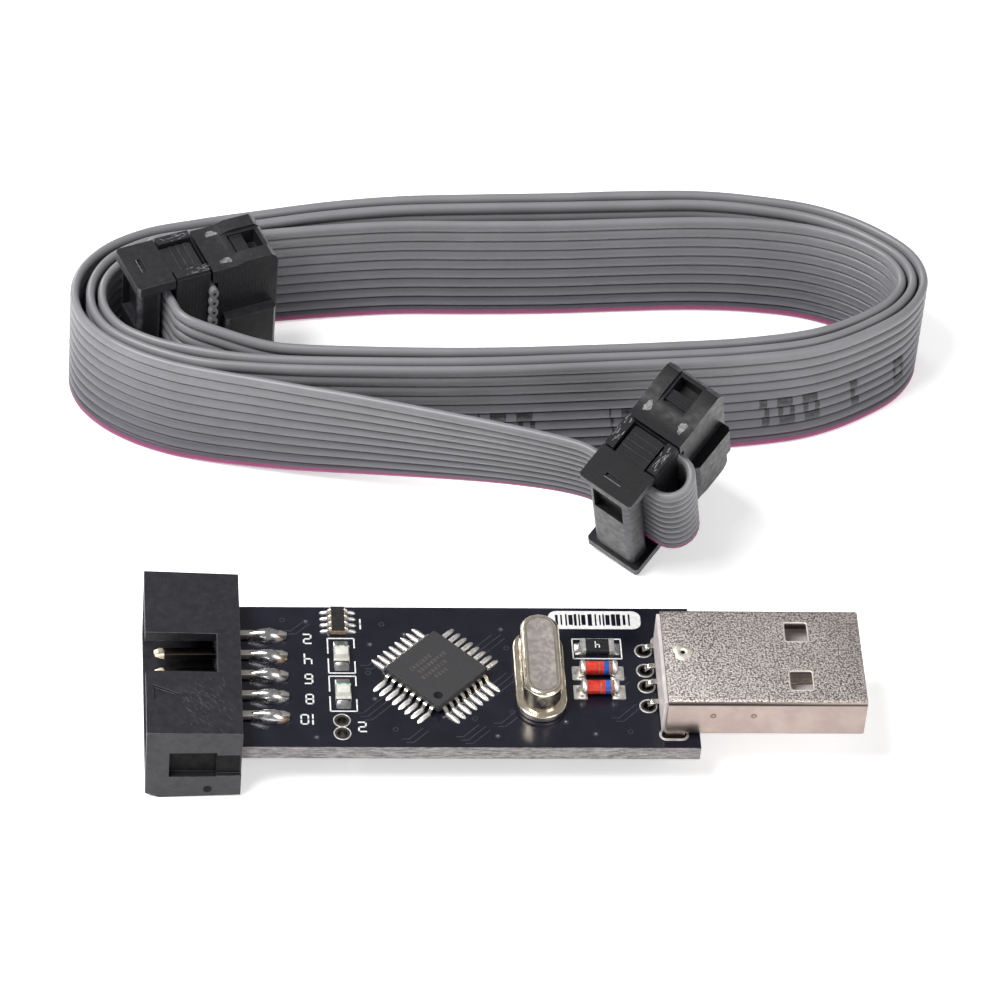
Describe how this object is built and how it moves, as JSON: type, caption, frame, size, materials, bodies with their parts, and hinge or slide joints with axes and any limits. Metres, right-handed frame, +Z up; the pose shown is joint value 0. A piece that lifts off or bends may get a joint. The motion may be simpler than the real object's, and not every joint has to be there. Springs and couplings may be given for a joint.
{
  "type": "usb microcontroller programmer",
  "caption": "Bare circuit board programmer with a USB plug at one end, a box header at the other, and a loose coiled ribbon cable with a socket on each end.",
  "frame": {"origin": "under the middle of the board with its header and plug, on the surface that it lies on", "axes": "+X along the board towards the tip of the USB plug, +Y across the board towards the coiled cable, +Z up from the board's component side"},
  "size_m": [0.0846, 0.0698, 0.0221],
  "materials": {
    "solder_mask": "glossy black solder mask over glass fibre laminate, with a grey-brown sawn edge",
    "black_plastic": "moulded charcoal polyester, lightly scuffed",
    "contact_gold": "thin gold flash over nickel",
    "nickel_shell": "nickel plated steel with a fine grain",
    "crystal_case": "drawn, warm nickel plate",
    "white_plastic": "moulded",
    "chip_epoxy": "fine matt epoxy with tinned leads",
    "chip_resistor": "black glaze on white ceramic with tinned ends",
    "chip_capacitor": "tan ceramic with tinned ends",
    "lamp": "clear lens on white, with a green mark",
    "diode_glass": "orange-red glass with one blue band and tinned caps",
    "ribbon_pvc": "satin grey, with one magenta edge conductor",
    "solder": "bright, with a brown tint of flux at the feet",
    "silkscreen": "thin white print"
  },
  "bodies": {
    "board": {"pcb": "solder_mask", "header_shroud": "black_plastic", "header_pin_top_1": "contact_gold", "header_pin_top_2": "contact_gold", "header_pin_top_3": "contact_gold", "header_pin_top_4": "contact_gold", "header_pin_top_5": "contact_gold", "header_pin_bottom_1": "contact_gold", "header_pin_bottom_2": "contact_gold", "header_pin_bottom_3": "contact_gold", "header_pin_bottom_4": "contact_gold", "header_pin_bottom_5": "contact_gold", "usb_shell": "nickel_shell", "usb_tongue": "white_plastic", "usb_contact_1": "contact_gold", "usb_contact_2": "contact_gold", "usb_contact_3": "contact_gold", "usb_contact_4": "contact_gold", "microcontroller": "chip_epoxy", "crystal_can": "crystal_case", "crystal_base": "crystal_case", "resistor_array": "chip_resistor", "led_near_array": "lamp", "led_near_jumper": "lamp", "marker_resistor": "chip_resistor", "diode_rear": "diode_glass", "diode_front": "diode_glass", "series_resistor_1": "chip_resistor", "series_resistor_2": "chip_resistor", "pullup_resistor": "chip_resistor", "load_capacitor_1": "chip_capacitor", "load_capacitor_2": "chip_capacitor", "decoupling_capacitor_1": "chip_capacitor", "decoupling_capacitor_2": "chip_capacitor", "lamp_resistor_1": "chip_resistor", "lamp_resistor_2": "chip_resistor", "reset_resistor": "chip_resistor"},
    "cable": {"socket_a_body": "black_plastic", "socket_a_cover": "black_plastic", "socket_b_body": "black_plastic", "socket_b_cover": "black_plastic", "ribbon_tail_a": "ribbon_pvc", "ribbon_coil": "ribbon_pvc", "ribbon_lead_b": "ribbon_pvc", "ribbon_tail_b": "ribbon_pvc"},
    "relief_a": {"socket_a_strain_relief": "black_plastic"},
    "relief_b": {"socket_b_strain_relief": "black_plastic"}
  },
  "joints": [
    {"name": "cable_lift", "type": "slide", "parent": "board", "child": "cable", "axis": [0, 0, 1], "range_m": [0, 0.06]},
    {"name": "relief_a_slide", "type": "slide", "parent": "cable", "child": "relief_a", "axis": [-0.9317, -0.3633, 0], "range_m": [0, 0.0006]},
    {"name": "relief_b_slide", "type": "slide", "parent": "cable", "child": "relief_b", "axis": [-0.6247, -0.6938, -0.3584], "range_m": [0, 0.0033]}
  ]
}
